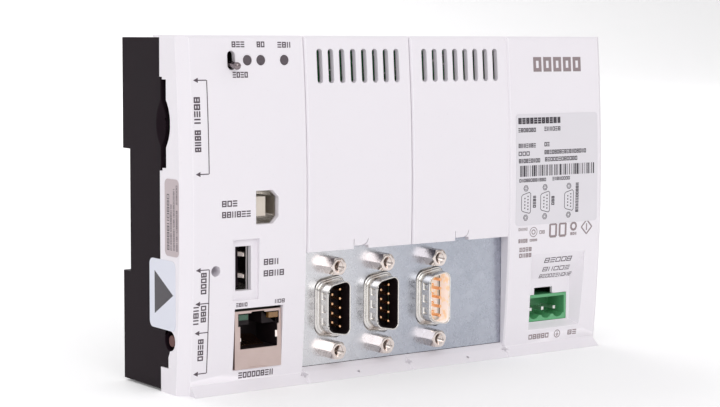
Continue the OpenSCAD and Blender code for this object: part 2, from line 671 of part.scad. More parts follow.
module network_shield() seat() color([0.8, 0.72, 0.68]) difference() {
    span(jack_x, [jack_y, board_y], jack_z);
    span([jack_x[0] + 0.35, jack_x[1] - 0.35], [jack_y + 0.35, board_y + 1], [jack_z[0] + 0.35, jack_z[1] - 0.35]);
    jack_mouth();
}

module network_insert() seat() color([0.12, 0.11, 0.12]) difference() {
    span([jack_x[0] + 0.37, jack_x[1] - 0.37], [jack_y + 0.37, board_y], [jack_z[0] + 0.37, jack_z[1] - 0.37]);
    jack_mouth();
    for (x = jack_lamp_x) span(x, [0, 6], jack_lamp_z);
}

// Eight spring contacts, leaning up into the mouth
module network_contacts() seat() color("gold") for (i = [-3.5 : 3.5])
    translate([(jack_x[0] + jack_x[1]) / 2 + i * 1.02, 5, 12.2]) rotate([16, 0, 0]) translate([-0.18, 0, 0]) cube([0.36, 7, 0.3]);

// Lens in one of the jack's two lamp windows
module jack_lamp(x) span([x[0] + 0.02, x[1] - 0.02], [jack_y + lamp_set_back, 5.9], [jack_lamp_z[0] + 0.02, jack_lamp_z[1] - 0.02]);

module link_light() seat() color([0.16, 0.5, 0.36]) jack_lamp(jack_lamp_x[0]);
module activity_light() seat() color([0.68, 0.48, 0.2]) jack_lamp(jack_lamp_x[1]);

// ---- USB ports ----

module host_port_shell() seat() color("gainsboro") translate([host_shift, 0, 0]) difference() {
    span([host_x - host_mouth[0] / 2 - 0.35, host_x + host_mouth[0] / 2 + 0.35], [host_y, board_y],
        [host_z - host_mouth[1] / 2 - 0.35, host_z + host_mouth[1] / 2 + 0.35]);
    span([host_x - host_mouth[0] / 2, host_x + host_mouth[0] / 2], [0, 13.6],
        [host_z - host_mouth[1] / 2, host_z + host_mouth[1] / 2]);
}

module host_port_tongue() seat() color([0.1, 0.1, 0.1]) translate([host_shift, 0, 0]) {
    span([host_x - 1.65, host_x + 0.2], [host_y + 0.6, 13.6], [host_z - 5.6, host_z + 5.6]);
    // the two longer contacts and the two shorter ones on the tongue
    for (p = [[-3.5, 0.4], [-1, 1.4], [1, 1.4], [3.5, 0.4]])
        span([host_x + 0.2, host_x + 0.32], [host_y + 0.6 + p[1], 12], [host_z + p[0] - 0.5, host_z + p[0] + 0.5]);
}

module device_port_shell() seat() color("gainsboro") difference() {
    span([device_x[0] - 1.3, device_x[1] + 1.3], [device_y, board_y], [device_z[0] - 1.2, device_z[1] + 1.2]);
    depth_y([0, 13.2]) device_outline(0.1);
}

module device_port_tongue() seat() color("white") {
    span([22.6, 25.8], [device_y + 1.4, 13.2], [49.5, 55.1]);
}

// ---- supply header ----

module supply_header() seat() color([0.3, 0.68, 0.45]) difference() {
    span([header_x - header_w / 2, header_x + header_w / 2], [pocket_y, board_y], [header_z - header_h / 2, header_z + header_h / 2]);
    span([header_x - header_w / 2 + 0.9, header_x + header_w / 2 - 0.9], [0, 13], [header_z - 2.4, header_z + header_h / 2 - 1]);
    // scalloped lower wall
    for (i = [-1 : 1]) rod_y(header_x + i * pole_pitch, header_z - 1.1, [0, 13], 2.4);
}

module supply_pins() seat() color("silver") for (i = [-1 : 1])
    span([header_x + i * pole_pitch - 0.5, header_x + i * pole_pitch + 0.5], [6.9, 13], [header_pin_z - 0.5, header_pin_z + 0.5]);

// ---- front controls ----

module status_lights() seat() color([0.4, 0.38, 0.4]) for (x = lights_x)
    rod_y(x, light_z, [bow(light_z) + 0.05, board_y], light_r);

module lever_space() translate([0, lever_y, lever_z]) length_x([-1.5, 1.5]) polygon([
    [1, 1.9], [1, -1.9], [-8, -3.1], [-8, 3.1]]);

module run_switch_body() seat() color("dimgray") difference() {
    span([lever_x - 3, lever_x + 3], [6.4, board_y], [lever_z - 4.2, lever_z + 3.2]);
    translate([lever_x, 0, 0]) lever_space();
    rod_x([lever_x - 5, lever_x + 5], lever_y, lever_z, lever_bore_r);
    // room for the tail of the lever
    span([lever_x - 1.5, lever_x + 1.5], [lever_y - 1, lever_y + 3.2], [lever_z - 2, lever_z + 2]);
}

module run_switch_lever() seat() color("silver") translate([lever_x, lever_y, lever_z]) {
    rod_x([-2.8, 2.8], 0, 0, lever_pin_r);
    rotate([lever_lean, 0, 0]) {
        rod_y(0, 0, [-lever_reach, 2.2], 0.95);
        translate([0, -lever_reach, 0]) sphere(r = lever_tip_r, $fn = fine);
    }
}

// ---- left side ----

module card_socket() seat() color("silver") difference() {
    span([-0.1, 28], card_y, card_z);
    span([-1, 26.5], [card_y[0] + 0.3, card_y[1] - 0.3], [card_z[0] + 0.3, card_z[1] - 0.3]);
}

// Slider that the card pushes in and that lifts it out again
module card_slider() seat() color([0.2, 0.2, 0.2]) {
    span([19.6, 22.4], [card_y[0] + 0.55, card_y[1] - 0.55], [card_z[0] + 0.6, card_z[1] - 0.6]);
}

module diagnostic_socket() seat() color([0.15, 0.14, 0.15]) difference() {
    span([0.2, 7], [8.2, board_y], [26.6, 33.8]);
    span([-1, 5.4], [9.2, 12], [27.8, 32.6]);
}

module update_switch_body() seat() color([0.25, 0.25, 0.27]) difference() {
    span([0.2, 4], [7.2, board_y], [update_z - 3.9, update_z + 3.9]);
    span([-1, 2.6], [update_y - 1, update_y + 1], [update_z - 2.6, update_z + 2.6]);
}

module update_switch_knob() seat() color("white")
    span([-1.6, 2.3], [update_y - 0.7, update_y + 0.7], [update_z - 2.3, update_z - 0.7]);

module control_button() seat() color([0.42, 0.24, 0.24])
    rod_x([-bevel_w + 0.6, 0.9], button_y, button_z, button_r);

module control_switch() seat() color([0.2, 0.2, 0.2]) difference() {
    span([0.2, 4.6], [5.4, board_y], [button_z - 3, button_z + 3]);
    rod_x([-1, 2.2], button_y, button_z, button_r + 0.15);
}

rear_base();
front_cover();
blank_cover(1, 43.4, 54.65);  // blank_cover_left
blank_cover(2, 81.7, 93);  // blank_cover_right
connector_plate();
housing_screws();
rating_label();
licence_label();
service_label();
rail_latch(latch_x[0]);  // rail_latch_left
rail_latch(latch_x[1]);  // rail_latch_right
latch_spring(latch_x[0]);  // latch_spring_left
latch_spring(latch_x[1]);  // latch_spring_right
main_board();
power_board();
board_spacers();
board_screws();
stack_connector();
processor();
heat_sink();
memory_chips();
clock_crystal();
coin_cell();
coin_cell_holder();
capacitors();
power_inductor();
supply_fuse();
serial_shield(1);  // serial_shield_1
serial_shield(2);  // serial_shield_2
serial_shield(3);  // serial_shield_3
serial_insert(1, [0.13, 0.12, 0.13]);  // serial_insert_1
serial_insert(2, [0.13, 0.12, 0.13]);  // serial_insert_2
serial_insert(3, "antiquewhite");  // serial_insert_3
serial_pins(1);  // serial_pins_1
serial_pins(2);  // serial_pins_2
serial_pins(3);  // serial_pins_3
jack_posts();
network_shield();
network_insert();
network_contacts();
link_light();
activity_light();
host_port_shell();
host_port_tongue();
device_port_shell();
device_port_tongue();
supply_header();
supply_pins();
status_lights();
run_switch_body();
run_switch_lever();
card_socket();
card_slider();
diagnostic_socket();
update_switch_body();
update_switch_knob();
control_button();
control_switch();
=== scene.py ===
# %% [markdown]
# # A rail-mounted programmable controller, finished in Blender
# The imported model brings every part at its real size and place. This lesson gives the parts their looks:
# softened moulded edges, stamped and turned metal, printed marks and a finish for each material.
# Everything is in metres. The load call comes first, because every later place is read from the parts.

# %% Load the parts
import json
import math
import random

import bpy
from mathutils import Matrix, Vector

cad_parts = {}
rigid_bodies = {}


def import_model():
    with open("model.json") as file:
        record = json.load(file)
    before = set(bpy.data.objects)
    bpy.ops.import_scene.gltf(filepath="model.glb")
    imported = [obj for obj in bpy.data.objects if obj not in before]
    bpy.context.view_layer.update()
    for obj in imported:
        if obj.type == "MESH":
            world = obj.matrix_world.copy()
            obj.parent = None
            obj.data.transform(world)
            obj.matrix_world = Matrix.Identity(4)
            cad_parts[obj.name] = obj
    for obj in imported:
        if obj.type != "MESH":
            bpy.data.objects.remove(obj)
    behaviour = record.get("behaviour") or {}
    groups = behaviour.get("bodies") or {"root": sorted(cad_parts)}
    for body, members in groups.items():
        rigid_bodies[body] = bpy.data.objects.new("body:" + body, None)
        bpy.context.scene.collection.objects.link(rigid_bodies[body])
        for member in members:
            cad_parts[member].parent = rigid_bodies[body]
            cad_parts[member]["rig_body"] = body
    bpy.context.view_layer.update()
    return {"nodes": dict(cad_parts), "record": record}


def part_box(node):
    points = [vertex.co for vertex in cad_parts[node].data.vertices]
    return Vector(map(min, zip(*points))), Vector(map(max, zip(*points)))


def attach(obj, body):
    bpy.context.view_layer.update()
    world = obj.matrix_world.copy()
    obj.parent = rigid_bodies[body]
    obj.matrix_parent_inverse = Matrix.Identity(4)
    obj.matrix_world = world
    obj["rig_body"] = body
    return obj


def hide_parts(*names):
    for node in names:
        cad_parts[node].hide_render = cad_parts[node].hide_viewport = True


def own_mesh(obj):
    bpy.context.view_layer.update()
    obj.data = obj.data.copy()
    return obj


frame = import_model()
slot_of = {part["node"]: part["material_slot"] for part in frame["record"]["subparts"]}

# %% [markdown]
# All dimensions below are in millimetres, counted from the left edge of the face (x), from the foremost
# line of the face (y, positive inwards) and from the underside (z). One helper turns such a place into
# Blender's metres. Its origin is read from two parts, so it follows if the part itself is changed.

# %% Places on the face
MM = 0.001
FACE_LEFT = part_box("front_cover")[0].x + 3 * MM
FACE_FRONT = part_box("jack_posts")[0].y + 1 * MM
BOW_RADIUS, BOW_HEIGHT = 505, 51


def at(x, y, z):
    """A place in millimetres on the unit, as a point in metres."""
    return Vector((FACE_LEFT + x * MM, FACE_FRONT + y * MM, z * MM))


def bow(z):
    """How far the shallow upright bow of the face falls back at height z."""
    return (z - BOW_HEIGHT) ** 2 / (2 * BOW_RADIUS)


print("face starts at", [round(c, 5) for c in at(0, 0, 0)])

# %% [markdown]
# ## Camera
# The camera stands to the left of the unit, a little above half its height, about half a metre away.
# A long lens keeps the upright edges nearly parallel, as a product picture wants.
# Its turn is given as three angles: round the vertical, then down, then a slight roll.

# %% Camera
camera_data = bpy.data.cameras.new("camera")
camera_data.sensor_width = 36
camera_data.lens = 89.765
camera_data.clip_start, camera_data.clip_end = 0.02, 20
camera = bpy.data.objects.new("camera", camera_data)
bpy.context.scene.collection.objects.link(camera)
turn = (Matrix.Rotation(math.radians(-35.80), 4, "Z") @ Matrix.Rotation(math.radians(-5.34), 4, "X")
        @ Matrix.Rotation(math.radians(-0.27), 4, "Y") @ Matrix.Rotation(math.radians(90), 4, "X"))
camera.matrix_world = Matrix.Translation((-0.32826, -0.44418, 0.10098)) @ turn
bpy.context.scene.camera = camera
print("camera looks along", [round(c, 3) for c in camera.matrix_world.to_3x3() @ Vector((0, 0, -1))])

# %% [markdown]
# ## Helpers for hand work
# Every operator acts on what is selected, so the first helper selects one thing and nothing else.
# The second goes into edit mode with only those faces, edges or points selected that pass a test.
# The third rounds sharp edges with a Bevel modifier and then applies it, so that the radius is real.

# %% Selecting and softening
def only(*pieces):
    """Selects these pieces and nothing else; the first is the active one."""
    if bpy.context.mode != "OBJECT":
        bpy.ops.object.mode_set(mode="OBJECT")
    bpy.ops.object.select_all(action="DESELECT")
    for piece in pieces:
        piece.select_set(True)
    bpy.context.view_layer.objects.active = pieces[0]
    return pieces[0]


def pick(piece, kind, test):
    """Goes into edit mode with only the FACEs, EDGEs or VERTs selected whose place passes the test.
    A face's test gets its centre and normal, an edge's gets its two ends, a point's gets its place."""
    only(piece)
    bpy.ops.object.mode_set(mode="EDIT")
    bpy.ops.mesh.select_mode(type=kind)
    bpy.ops.mesh.select_all(action="DESELECT")
    bpy.ops.object.mode_set(mode="OBJECT")
    mesh = piece.data
    if kind == "FACE":
        for face in mesh.polygons:
            face.select = test(face.center, face.normal)
    elif kind == "EDGE":
        for edge in mesh.edges:
            edge.select = test(*(mesh.vertices[v].co for v in edge.vertices))
    else:
        for point in mesh.vertices:
            point.select = test(point.co)
    bpy.ops.object.mode_set(mode="EDIT")


def done(piece):
    """Leaves edit mode."""
    bpy.ops.object.mode_set(mode="OBJECT")
    return piece


def apply_modifier(piece, kind, **settings):
    """Adds one modifier, sets it and applies it."""
    only(piece)
    bpy.ops.object.modifier_add(type=kind)
    modifier = piece.modifiers[-1]
    for key, value in settings.items():
        setattr(modifier, key, value)
    bpy.ops.object.modifier_apply(modifier=modifier.name)
    return piece


def soften(piece, edge, sharp=30, rounds=2, smooth=40):
    """Gives every edge sharper than this angle a radius, in millimetres, and smooth shading."""
    if edge:
        apply_modifier(piece, "BEVEL", width=edge * MM, segments=rounds, limit_method="ANGLE",
                       angle_limit=math.radians(sharp), use_clamp_overlap=False, loop_slide=False)
    only(piece)
    bpy.ops.object.shade_smooth_by_angle(angle=math.radians(smooth))
    return piece


def settle(piece):
    """Puts the piece's place into its mesh, so that the object itself sits unturned at the origin."""
    only(piece)
    bpy.ops.object.transform_apply(location=True, rotation=True, scale=True)
    return piece


def join(name, pieces):
    """Joins several pieces into one."""
    only(*pieces)
    bpy.ops.object.join()
    pieces[0].name = pieces[0].data.name = name
    return pieces[0]


def copy_of(piece, shift):
    """A copy with its own mesh, moved by a number of millimetres."""
    twin = bpy.data.objects.new(piece.name, piece.data.copy())
    bpy.context.scene.collection.objects.link(twin)
    twin.data.transform(Matrix.Translation(Vector(shift) * MM))
    return twin


print("helpers ready")

# %% [markdown]
# ## Writing a material as an expression
# A material is a tree of nodes. Drawing it by hand is slow to read in a script, so one small class wraps
# an output socket and turns Python's own operators into Math nodes. A second class holds one material.
# All patterns read Object coordinates, in metres, so a grain keeps its real size on every part.

# %% Wires and finishes
class Wire:
    """The output of a node. Operators on it add Math nodes to the same material."""

    def __init__(self, finish, socket):
        self.finish, self.socket = finish, socket

    def math(self, operation, first, second):
        return self.finish.add("ShaderNodeMath", {"operation": operation}, {0: first, 1: second})

    def __add__(self, other):
        return self.math("ADD", self, other)

    def __sub__(self, other):
        return self.math("SUBTRACT", self, other)

    def __rsub__(self, other):
        return self.math("SUBTRACT", other, self)

    def __mul__(self, other):
        return self.math("MULTIPLY", self, other)

    __radd__, __rmul__ = __add__, __mul__

    def ease(self, low, high):
        """0 below low, 1 above high and a smooth rise between them."""
        return self.finish.add("ShaderNodeMapRange", {"interpolation_type": "SMOOTHSTEP"},
                               {"Value": self, "From Min": low, "From Max": high})


class Finish:
    """One material: a principled shader and the nodes that feed it."""

    def __init__(self, name, **sockets):
        self.material = bpy.data.materials.new(name)
        self.material.use_nodes = True
        self.nodes = self.material.node_tree.nodes
        self.shader = self.nodes["Principled BSDF"]
        self.object = self.add("ShaderNodeTexCoord", output="Object")
        for key, value in sockets.items():
            self.set(key.replace("_", " "), value)

    def add(self, kind, settings=None, inputs=None, output=0):
        """Any node: its settings first, then the values or wires of its sockets."""
        node = self.nodes.new(kind)
        for key, value in (settings or {}).items():
            setattr(node, key, value)
        for key, value in (inputs or {}).items():
            if isinstance(value, Wire):
                self.material.node_tree.links.new(value.socket, node.inputs[key])
            else:
                node.inputs[key].default_value = value
        return Wire(self, node.outputs[output])

    def set(self, socket, value):
        if isinstance(value, Wire):
            self.material.node_tree.links.new(value.socket, self.shader.inputs[socket])
        else:
            self.shader.inputs[socket].default_value = value

    def noise(self, size, detail=2.0, rough=0.5, stretch=(1, 1, 1)):
        """Soft noise whose blobs are about this many millimetres across, from 0 to 1."""
        place = self.add("ShaderNodeMapping", None, {"Vector": self.object, "Scale": stretch})
        return self.add("ShaderNodeTexNoise", None, {"Vector": place, "Scale": 1 / (size * MM),
                                                     "Detail": detail, "Roughness": rough})

    def cells(self, size, output="Distance", stretch=(1, 1, 1)):
        """Voronoi cells about this many millimetres across."""
        place = self.add("ShaderNodeMapping", None, {"Vector": self.object, "Scale": stretch})
        return self.add("ShaderNodeTexVoronoi", None, {"Vector": place, "Scale": 1 / (size * MM)}, output)

    def mix(self, share, first, second):
        """One colour into another."""
        return self.add("ShaderNodeMix", {"data_type": "RGBA"},
                        {0: share, 6: first if isinstance(first, Wire) else (*first, 1),
                         7: second if isinstance(second, Wire) else (*second, 1)}, 2)

    def edges(self, radius):
        """1 on edges rounder than this many millimetres would make them, 0 on flat stretches."""
        rounded = self.add("ShaderNodeBevel", {"samples": 6}, {"Radius": radius * MM})
        flat = self.add("ShaderNodeNewGeometry", output="True Normal")
        same = self.add("ShaderNodeVectorMath", {"operation": "DOT_PRODUCT"}, {0: rounded, 1: flat},
                        "Value")
        return (1 - same).ease(0.004, 0.05)

    def bump(self, height, depth, edge=0.0):
        """Turns a height from 0 to 1 into bumps this many millimetres deep; edge softens sharp corners."""
        sockets = {"Strength": 1.0, "Distance": depth * MM, "Height": height}
        if edge:
            sockets["Normal"] = self.add("ShaderNodeBevel", {"samples": 6}, {"Radius": edge * MM})
        self.set("Normal", self.add("ShaderNodeBump", None, sockets))


print("finishes can be written now")

# %% [markdown]
# ## Moulded plastics
# The cover is satin ABS with a cool, faintly violet white. Its mould was spark eroded, which leaves a grain
# a tenth of a millimetre across, so roughness and bump both come from fine noise. Broad, weak noise shifts
# the tone a little, as flow in a mould does. The black base has a coarser grain that catches more light.

# %% White and black housing finishes
def moulded_finish(name, colour, other, roughness, grain, depth, shine=0.5, edge=0.0, **sockets):
    """A moulded plastic: broad colour drift, a fine grain in roughness and bump, a few tiny specks and, with
    an edge radius, a painted highlight on rounded edges.
    """
    finish = Finish(name, Specular_IOR_Level=shine, **sockets)
    drift = finish.noise(22, 3, 0.6)
    fine = finish.noise(grain, 3, 0.65)
    speck = finish.noise(0.55, 1, 0.4).ease(0.70, 0.78)
    tone = finish.mix(speck * 0.10, finish.mix(drift, colour, other), tuple(c * 0.6 for c in colour))
    # With an edge radius, the colour is lightened by 15 % on rounded edges: a painted highlight.
    if edge:
        tone = finish.mix(finish.edges(edge), tone, tuple(min(1, c * 1.15) for c in colour))
    finish.set("Base Color", tone)
    finish.set("Roughness", fine * 0.22 + (roughness - 0.11) + drift * 0.05)
    finish.bump(fine, depth, edge)
    return finish.material


white_housing = moulded_finish("white_housing", (0.865, 0.832, 0.872), (0.84, 0.806, 0.850),
                               0.46, 0.16, 0.010, 0.45, 0.32)
black_housing = moulded_finish("black_housing", (0.0095, 0.0045, 0.0075), (0.0145, 0.0080, 0.0120),
                               0.52, 0.30, 0.030, 0.08)
black_moulding = moulded_finish("black_moulding", (0.012, 0.0075, 0.009), (0.018, 0.0115, 0.013),
                                0.40, 0.2, 0.008, 0.22)
white_moulding = moulded_finish("white_moulding", (0.82, 0.76, 0.68), (0.76, 0.68, 0.58), 0.42, 0.2, 0.008)
green_moulding = moulded_finish("green_moulding", (0.095, 0.37, 0.165), (0.125, 0.43, 0.195),
                                0.22, 0.25, 0.006, 0.6)
red_brown_cap = moulded_finish("red_brown_cap", (0.105, 0.034, 0.031), (0.14, 0.052, 0.046),
                               0.36, 0.2, 0.006, 0.3)
chip_resin = moulded_finish("chip_resin", (0.022, 0.022, 0.023), (0.032, 0.031, 0.032), 0.5, 0.12, 0.006)

# The insert of the third port is pale and clear, with white and orange patches: its glow is painted light,
# and the orange patches are painted reflections of its gold pins
milky = Finish("amber_moulding", Emission_Color=(1, 0.87, 0.78, 1), Emission_Strength=0.2)
painted_pin_reflections = milky.noise(3.2, 2, 0.5).ease(0.47, 0.64)
milky.set("Base Color", milky.mix(painted_pin_reflections, (0.97, 0.95, 0.94), (0.97, 0.70, 0.42)))
milky.set("Roughness", milky.noise(0.4, 2, 0.5) * 0.2 + 0.2)
amber_moulding = milky.material
print("plastics:", [m.name for m in bpy.data.materials if "housing" in m.name or "moulding" in m.name])

# %% [markdown]
# ## Metals
# Hot-dip galvanised sheet freezes into zinc crystals a few millimetres wide, each with its own sheen:
# Voronoi cells give each crystal a tone and a roughness. Nickel plate is smooth with faint wiping marks.
# Drawn and turned steel carries fine lines along its length, which is noise stretched in one direction.

# %% Metal finishes
def along(finish, axis):
    """One of the three Object coordinates, in metres."""
    return finish.add("ShaderNodeSeparateXYZ", None, {0: finish.object}, output=axis)


def spangled_steel():
    finish = Finish("galvanised_steel", Metallic=1.0)
    wobble = finish.noise(5, 3, 0.6)
    crystal = finish.cells(1.5, output="Color", stretch=(1, 1, 0.8))
    tone = finish.add("ShaderNodeSeparateColor", None, {0: crystal})
    haze = finish.noise(0.4, 3, 0.6)
    mottle = tone * 0.28 + wobble * 0.8
    # The plate is painted brighter at its left end and fades to its plain tone towards the right: a painted
    # highlight.
    painted_highlight_fade = along(finish, "X").ease(-0.045, 0.012)
    bright = finish.mix(mottle, (0.66, 0.66, 0.68), (0.86, 0.86, 0.88))
    plain_plate_tone = finish.mix(mottle, (0.36, 0.385, 0.445), (0.57, 0.595, 0.665))
    finish.set("Base Color", finish.mix(painted_highlight_fade, bright, plain_plate_tone))
    finish.set("Roughness", tone * 0.08 + haze * 0.12 + wobble * 0.12 + 0.12)
    finish.bump(tone * 0.2 + haze * 0.5 + wobble, 0.03)
    return finish.material


def bright_metal(name, colour, other, roughness, stretch, depth=0.004, size=0.35, **sockets):
    """A plated or turned metal with fine lines along the direction that stretch leaves long."""
    finish = Finish(name, Metallic=1.0, **sockets)
    lines = finish.noise(size, 3, 0.6, stretch)
    cloud = finish.noise(4, 2, 0.5)
    finish.set("Base Color", finish.mix(cloud * 0.7 + lines * 0.3, colour, other))
    finish.set("Roughness", lines * 0.14 + cloud * 0.08 + (roughness - 0.09))
    finish.bump(lines, depth)
    return finish.material


galvanised_steel = spangled_steel()
zinc_steel = bright_metal("zinc_steel", (0.70, 0.66, 0.62), (0.80, 0.77, 0.73), 0.24, (1, 0.12, 1))
plated_shell = bright_metal("plated_shell", (0.74, 0.71, 0.68), (0.86, 0.84, 0.81), 0.17, (0.25, 1, 0.25))
warm_shell = bright_metal("warm_shell", (0.60, 0.465, 0.425), (0.72, 0.59, 0.555), 0.30, (0.2, 1, 1))
jack_steel = bright_metal("jack_steel", (0.64, 0.54, 0.50), (0.90, 0.84, 0.80), 0.13, (1, 0.12, 1))
# The lever's chrome has a dark base colour: a painted dark reflection, in place of dark surroundings for it
# to mirror.
lever_chrome = bright_metal("lever_chrome", (0.20, 0.165, 0.175), (0.32, 0.27, 0.28), 0.14, (1, 1, 1), 0.002)
spring_steel = bright_metal("spring_steel", (0.52, 0.52, 0.53), (0.62, 0.62, 0.62), 0.3, (1, 1, 0.15))
gold_plate = bright_metal("gold_plate", (0.86, 0.45, 0.22), (0.95, 0.62, 0.38), 0.22, (1, 0.1, 1), 0.002, 0.2)
brass_fitting = bright_metal("brass_fitting", (0.68, 0.48, 0.22), (0.78, 0.58, 0.30), 0.3, (1, 0.1, 1))
# This spring metal glows: painted light in place of the soft light that hardly reaches into the mouths.
worn_spring = bright_metal("worn_spring", (0.80, 0.72, 0.68), (0.92, 0.86, 0.83), 0.45, (1, 0.2, 1),
                           Emission_Color=(1, 0.88, 0.84, 1), Emission_Strength=0.3)
tin_plate = bright_metal("tin_plate", (0.72, 0.72, 0.70), (0.84, 0.84, 0.82), 0.3, (1, 0.15, 1))
anodised_aluminium = bright_metal("anodised_aluminium", (0.05, 0.05, 0.055), (0.08, 0.08, 0.085), 0.42,
                                  (1, 1, 0.1))
capacitor_can = bright_metal("capacitor_can", (0.42, 0.44, 0.48), (0.52, 0.54, 0.58), 0.34, (1, 0.1, 1))
print("metals ready")

# %% [markdown]
# ## Films, lenses and boards
# Labels are printed film: almost smooth, with a weak orange-peel bump. Lenses are clear tinted plastic over
# a dark chip. The boards carry traces under green solder mask, drawn by thresholding stretched cells.

# %% Film, lens and board finishes
def film(name, colour, other, roughness=0.38):
    finish = Finish(name, Coat_Weight=0.15, Coat_Roughness=0.3)
    peel = finish.noise(0.8, 2, 0.5)
    drift = finish.noise(12, 2, 0.5)
    finish.set("Base Color", finish.mix(drift, colour, other))
    finish.set("Roughness", peel * 0.14 + (roughness - 0.07))
    finish.bump(peel, 0.006)
    return finish.material


def lens(name, deep, bright, roughness=0.12, **sockets):
    finish = Finish(name, Coat_Weight=0.6, Coat_Roughness=0.08, **sockets)
    swirl = finish.noise(0.9, 2, 0.5)
    finish.set("Base Color", finish.mix(swirl, deep, bright))
    finish.set("Roughness", swirl * 0.08 + roughness)
    finish.bump(swirl, 0.01)
    return finish.material


def circuit_board():
    finish = Finish("circuit_board", Coat_Weight=0.4, Coat_Roughness=0.2)
    across = finish.cells(1.3, stretch=(1, 0.02, 0.12)).ease(0.30, 0.36)
    upright = finish.cells(1.3, stretch=(0.12, 0.02, 1)).ease(0.30, 0.36)
    pads = 1 - finish.cells(2.2).ease(0.16, 0.18)
    trace = across * upright
    board = finish.mix(trace, (0.012, 0.11, 0.035), (0.02, 0.17, 0.055))
    finish.set("Base Color", finish.mix(pads, board, (0.70, 0.70, 0.66)))
    finish.set("Metallic", pads * 0.9)
    finish.set("Roughness", 0.36 - pads * 0.1)
    finish.bump(trace * 0.5 + pads, 0.03)
    return finish.material


grey_label = film("grey_label", (0.76, 0.735, 0.775), (0.735, 0.71, 0.75))
brown_label = film("brown_label", (0.46, 0.38, 0.40), (0.54, 0.455, 0.475))
white_label = film("white_label", (0.74, 0.755, 0.84), (0.70, 0.715, 0.81))
dark_ink = film("dark_ink", (0.072, 0.052, 0.068), (0.105, 0.080, 0.098), 0.45)
black_ink = film("black_ink", (0.030, 0.024, 0.034), (0.045, 0.036, 0.048), 0.4)
brown_ink = film("brown_ink", (0.26, 0.20, 0.21), (0.31, 0.25, 0.26), 0.45)
green_lens = lens("green_lens", (0.010, 0.055, 0.028), (0.02, 0.10, 0.052))
amber_lens = lens("amber_lens", (0.17, 0.075, 0.016), (0.30, 0.15, 0.04))
grey_lens = lens("grey_lens", (0.080, 0.062, 0.074), (0.112, 0.090, 0.104), 0.25)
finish_of = {"white_housing": white_housing, "black_housing": black_housing,
             "black_moulding": black_moulding, "white_moulding": white_moulding,
             "green_moulding": green_moulding, "red_brown_cap": red_brown_cap, "chip_resin": chip_resin,
             "galvanised_steel": galvanised_steel, "zinc_steel": zinc_steel, "plated_shell": plated_shell,
             "spring_steel": spring_steel, "gold_plate": gold_plate, "brass_fitting": brass_fitting,
             "anodised_aluminium": anodised_aluminium, "capacitor_can": capacitor_can,
             "grey_label": grey_label, "brown_label": brown_label, "white_label": white_label,
             "green_lens": green_lens, "amber_lens": amber_lens, "grey_lens": grey_lens,
             "circuit_board": circuit_board()}
for node, part in frame["nodes"].items():
    for place in range(len(part.data.materials)):
        part.data.materials[place] = finish_of[slot_of[node]]
print(len(finish_of), "finishes on the parts")


# %% Giving a new piece its finish and its place in the model
def dress(piece, name, material, body="housing", replaces=()):
    """Names a new piece, gives it one finish and lets it ride on its body."""
    piece.name = piece.data.name = name
    piece.data.materials.clear()
    piece.data.materials.append(material)
    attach(piece, body)
    if replaces:
        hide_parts(*replaces)
    return piece


# %% [markdown]
# ## Softened copies of the housing parts
# Parts from a mould or a press have small radii on every edge, and those catch the light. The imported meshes
# are loose triangles with knife edges. So each one is copied, its points are merged, flat stretches are
# dissolved into large faces, and a Bevel modifier rounds what is left. The copy then stands for the part.

# %% Softened copies
def softened(node, edge, material=None, sharp=30, rounds=2):
    """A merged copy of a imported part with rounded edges, which stands for the part itself."""
    source = frame["nodes"][node]
    piece = bpy.data.objects.new(node + "_finished", source.data.copy())
    bpy.context.scene.collection.objects.link(piece)
    only(piece)
    bpy.ops.mesh.customdata_custom_splitnormals_clear()
    bpy.ops.object.mode_set(mode="EDIT")
    bpy.ops.mesh.select_all(action="SELECT")
    bpy.ops.mesh.remove_doubles(threshold=2e-6)
    bpy.ops.mesh.dissolve_limited(angle_limit=math.radians(0.2))
    done(piece)
    soften(piece, edge, sharp, rounds)
    apply_modifier(piece, "WEIGHTED_NORMAL", keep_sharp=True)
    dress(piece, node + "_finished", material or finish_of[slot_of[node]], source["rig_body"],
          [node])
    print(piece.name, len(piece.data.polygons), "faces")
    return piece


softened("rear_base", 0.25)
for node in ("rail_latch_left", "rail_latch_right", "network_insert", "supply_header", "control_button",
             "diagnostic_socket", "update_switch_body", "update_switch_knob", "control_switch",
             "run_switch_body", "card_socket", "card_slider", "stack_connector", "coin_cell_holder"):
    softened(node, 0.12)

# %% [markdown]
# Each rail latch is pushed up by a wire spring that stands between the housing and the latch's tab. A spring
# can't ride on one body, because one end stays and the other follows: as its latch is pulled, 3 of its 12
# millimetres are used up while its foot stays in place. Here each spring is copied, and the copy rides on the
# housing.

# %% Spring copies on the housing
for side, spring_x in (("left", 27), ("right", 126)):
    node = f"latch_spring_{side}"
    wire = bpy.data.objects.new(node + "_wound", frame["nodes"][node].data.copy())
    bpy.context.scene.collection.objects.link(wire)
    dress(wire, node + "_wound", finish_of[slot_of[node]], "housing", [node])
    at(spring_x, 31.15, 8.4)
    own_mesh(wire)
    print(wire.name, "gives way by a quarter")

# %% [markdown]
# ## Serial port shells
# A nine-pole port has a D-shaped shell, deep drawn from sheet. Three things make it read as drawn metal: a
# raised collar with a generous radius where it leaves its flange, a rounded rim, and three stamped dimples
# on the short row's side that grip the plug. It starts as a cube that is tapered, rounded and opened at both
# ends. Then the rear rim is extruded outwards in small steps, and Solidify gives the sheet its thickness.
# Pieces are modelled in millimetres round the origin, and shrunk to metres when they are put in place.

# %% Serial port shell
def to_place(piece, x, y, z):
    """Shrinks a piece modelled in millimetres round the origin and puts it at its place on the unit."""
    settle(piece)
    piece.data.transform(Matrix.Translation(at(x, y, z)) @ Matrix.Scale(MM, 4))
    return piece


def start(kind, **settings):
    """Adds one primitive, in millimetres, with nothing else selected, and bakes its size and turn."""
    only(camera)
    getattr(bpy.ops.mesh, f"primitive_{kind}_add")(**settings)
    return settle(bpy.context.active_object)


